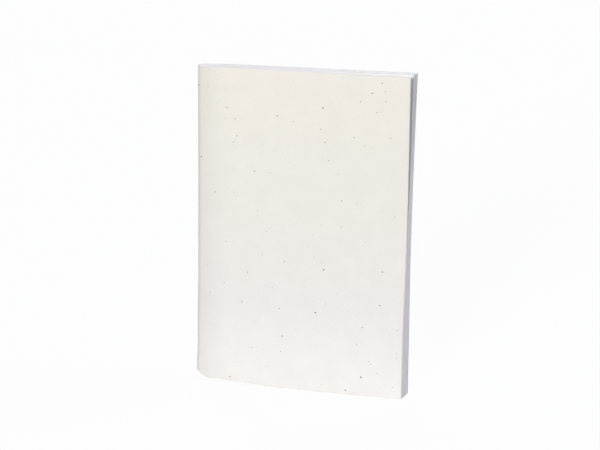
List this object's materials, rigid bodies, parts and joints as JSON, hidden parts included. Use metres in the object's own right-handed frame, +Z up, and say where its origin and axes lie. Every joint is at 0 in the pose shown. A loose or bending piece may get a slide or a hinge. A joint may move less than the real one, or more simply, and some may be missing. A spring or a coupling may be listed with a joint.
{
  "type": "softcover notebook",
  "caption": "Closed softcover notebook standing on its bottom edge: seed paper wrap-around cover, thread-sewn folded sections, leaves that turn.",
  "frame": {"origin": "on the surface that the notebook stands on, under the middle of its bounding box", "axes": "+X from the spine to the fore edge, the front cover faces -Y, +Z up along the spine"},
  "size_m": [0.14, 0.0182, 0.21],
  "materials": {
    "seed_paper": "handmade, matte, with embedded seeds",
    "writing_paper": "uncoated, matte",
    "binding_glue": "dried film, satin",
    "linen_thread": "twisted, waxed"
  },
  "bodies": {
    "back_block": {"spine_cover_back": "seed_paper", "spine_glue_back": "binding_glue", "section_5": "writing_paper", "thread_5": "linen_thread"},
    "front_block": {"spine_cover_front": "seed_paper", "spine_glue_front": "binding_glue", "section_1": "writing_paper", "thread_1": "linen_thread"},
    "front_cover": {"front_cover": "seed_paper"},
    "back_cover": {"back_cover": "seed_paper"},
    "first_leaf": {"first_leaf": "writing_paper"},
    "last_leaf": {"last_leaf": "writing_paper"},
    "section_2": {"section_2": "writing_paper", "thread_2": "linen_thread"},
    "section_3_front": {"section_3_front": "writing_paper"},
    "section_3_back": {"section_3_back": "writing_paper", "thread_3": "linen_thread"},
    "section_4": {"section_4": "writing_paper", "thread_4": "linen_thread"},
    "centre_leaf_1": {"centre_leaf_1": "writing_paper"},
    "centre_leaf_2": {"centre_leaf_2": "writing_paper"},
    "centre_leaf_3": {"centre_leaf_3": "writing_paper"},
    "centre_leaf_4": {"centre_leaf_4": "writing_paper"}
  },
  "joints": [
    {"name": "middle_opening", "type": "hinge", "parent": "back_block", "child": "front_block", "pos_m": [-0.07, -0.00185, 0.105], "axis": [0, 0, -1], "range_deg": [0, 160]},
    {"name": "front_cover_hinge", "type": "hinge", "parent": "front_block", "child": "front_cover", "pos_m": [-0.065, -0.00785, 0.105], "axis": [0, 0, -1], "range_deg": [0, 150]},
    {"name": "back_cover_hinge", "type": "hinge", "parent": "back_block", "child": "back_cover", "pos_m": [-0.065, 0.00415, 0.105], "axis": [0, 0, 1], "range_deg": [0, 40]},
    {"name": "first_leaf_turn", "type": "hinge", "parent": "front_block", "child": "first_leaf", "pos_m": [-0.0647, -0.00697, 0.105], "axis": [0, 0, -1], "range_deg": [0, 24]},
    {"name": "last_leaf_turn", "type": "hinge", "parent": "back_block", "child": "last_leaf", "pos_m": [-0.0647, 0.00327, 0.105], "axis": [0, 0, 1], "range_deg": [0, 8]},
    {"name": "section_2_fan", "type": "hinge", "parent": "front_block", "child": "section_2", "pos_m": [-0.06745, -0.00383, 0.105], "axis": [0, 0, 1], "range_deg": [0, 4]},
    {"name": "section_3_front_fan", "type": "hinge", "parent": "front_block", "child": "section_3_front", "pos_m": [-0.06777, -0.00185, 0.105], "axis": [0, 0, 1], "range_deg": [0, 8]},
    {"name": "centre_leaf_1_fan", "type": "hinge", "parent": "front_block", "child": "centre_leaf_1", "pos_m": [-0.06777, -0.00185, 0.105], "axis": [0, 0, 1], "range_deg": [0, 16]},
    {"name": "centre_leaf_2_fan", "type": "hinge", "parent": "front_block", "child": "centre_leaf_2", "pos_m": [-0.06777, -0.00185, 0.105], "axis": [0, 0, 1], "range_deg": [0, 24]},
    {"name": "centre_leaf_3_fan", "type": "hinge", "parent": "back_block", "child": "centre_leaf_3", "pos_m": [-0.06777, -0.00185, 0.105], "axis": [0, 0, -1], "range_deg": [0, 24]},
    {"name": "centre_leaf_4_fan", "type": "hinge", "parent": "back_block", "child": "centre_leaf_4", "pos_m": [-0.06777, -0.00185, 0.105], "axis": [0, 0, -1], "range_deg": [0, 16]},
    {"name": "section_3_back_fan", "type": "hinge", "parent": "back_block", "child": "section_3_back", "pos_m": [-0.06777, -0.00185, 0.105], "axis": [0, 0, -1], "range_deg": [0, 8]},
    {"name": "section_4_fan", "type": "hinge", "parent": "back_block", "child": "section_4", "pos_m": [-0.06745, 0.00013, 0.105], "axis": [0, 0, -1], "range_deg": [0, 4]}
  ],
  "couplings": [
    {"joint": "first_leaf_turn", "follows": "front_cover_hinge", "ratio": 0.16},
    {"joint": "last_leaf_turn", "follows": "back_cover_hinge", "ratio": 0.2},
    {"joint": "section_2_fan", "follows": "middle_opening", "ratio": 0.025},
    {"joint": "section_3_front_fan", "follows": "middle_opening", "ratio": 0.05},
    {"joint": "centre_leaf_1_fan", "follows": "middle_opening", "ratio": 0.1},
    {"joint": "centre_leaf_2_fan", "follows": "middle_opening", "ratio": 0.15},
    {"joint": "centre_leaf_3_fan", "follows": "middle_opening", "ratio": 0.15},
    {"joint": "centre_leaf_4_fan", "follows": "middle_opening", "ratio": 0.1},
    {"joint": "section_3_back_fan", "follows": "middle_opening", "ratio": 0.05},
    {"joint": "section_4_fan", "follows": "middle_opening", "ratio": 0.025}
  ]
}
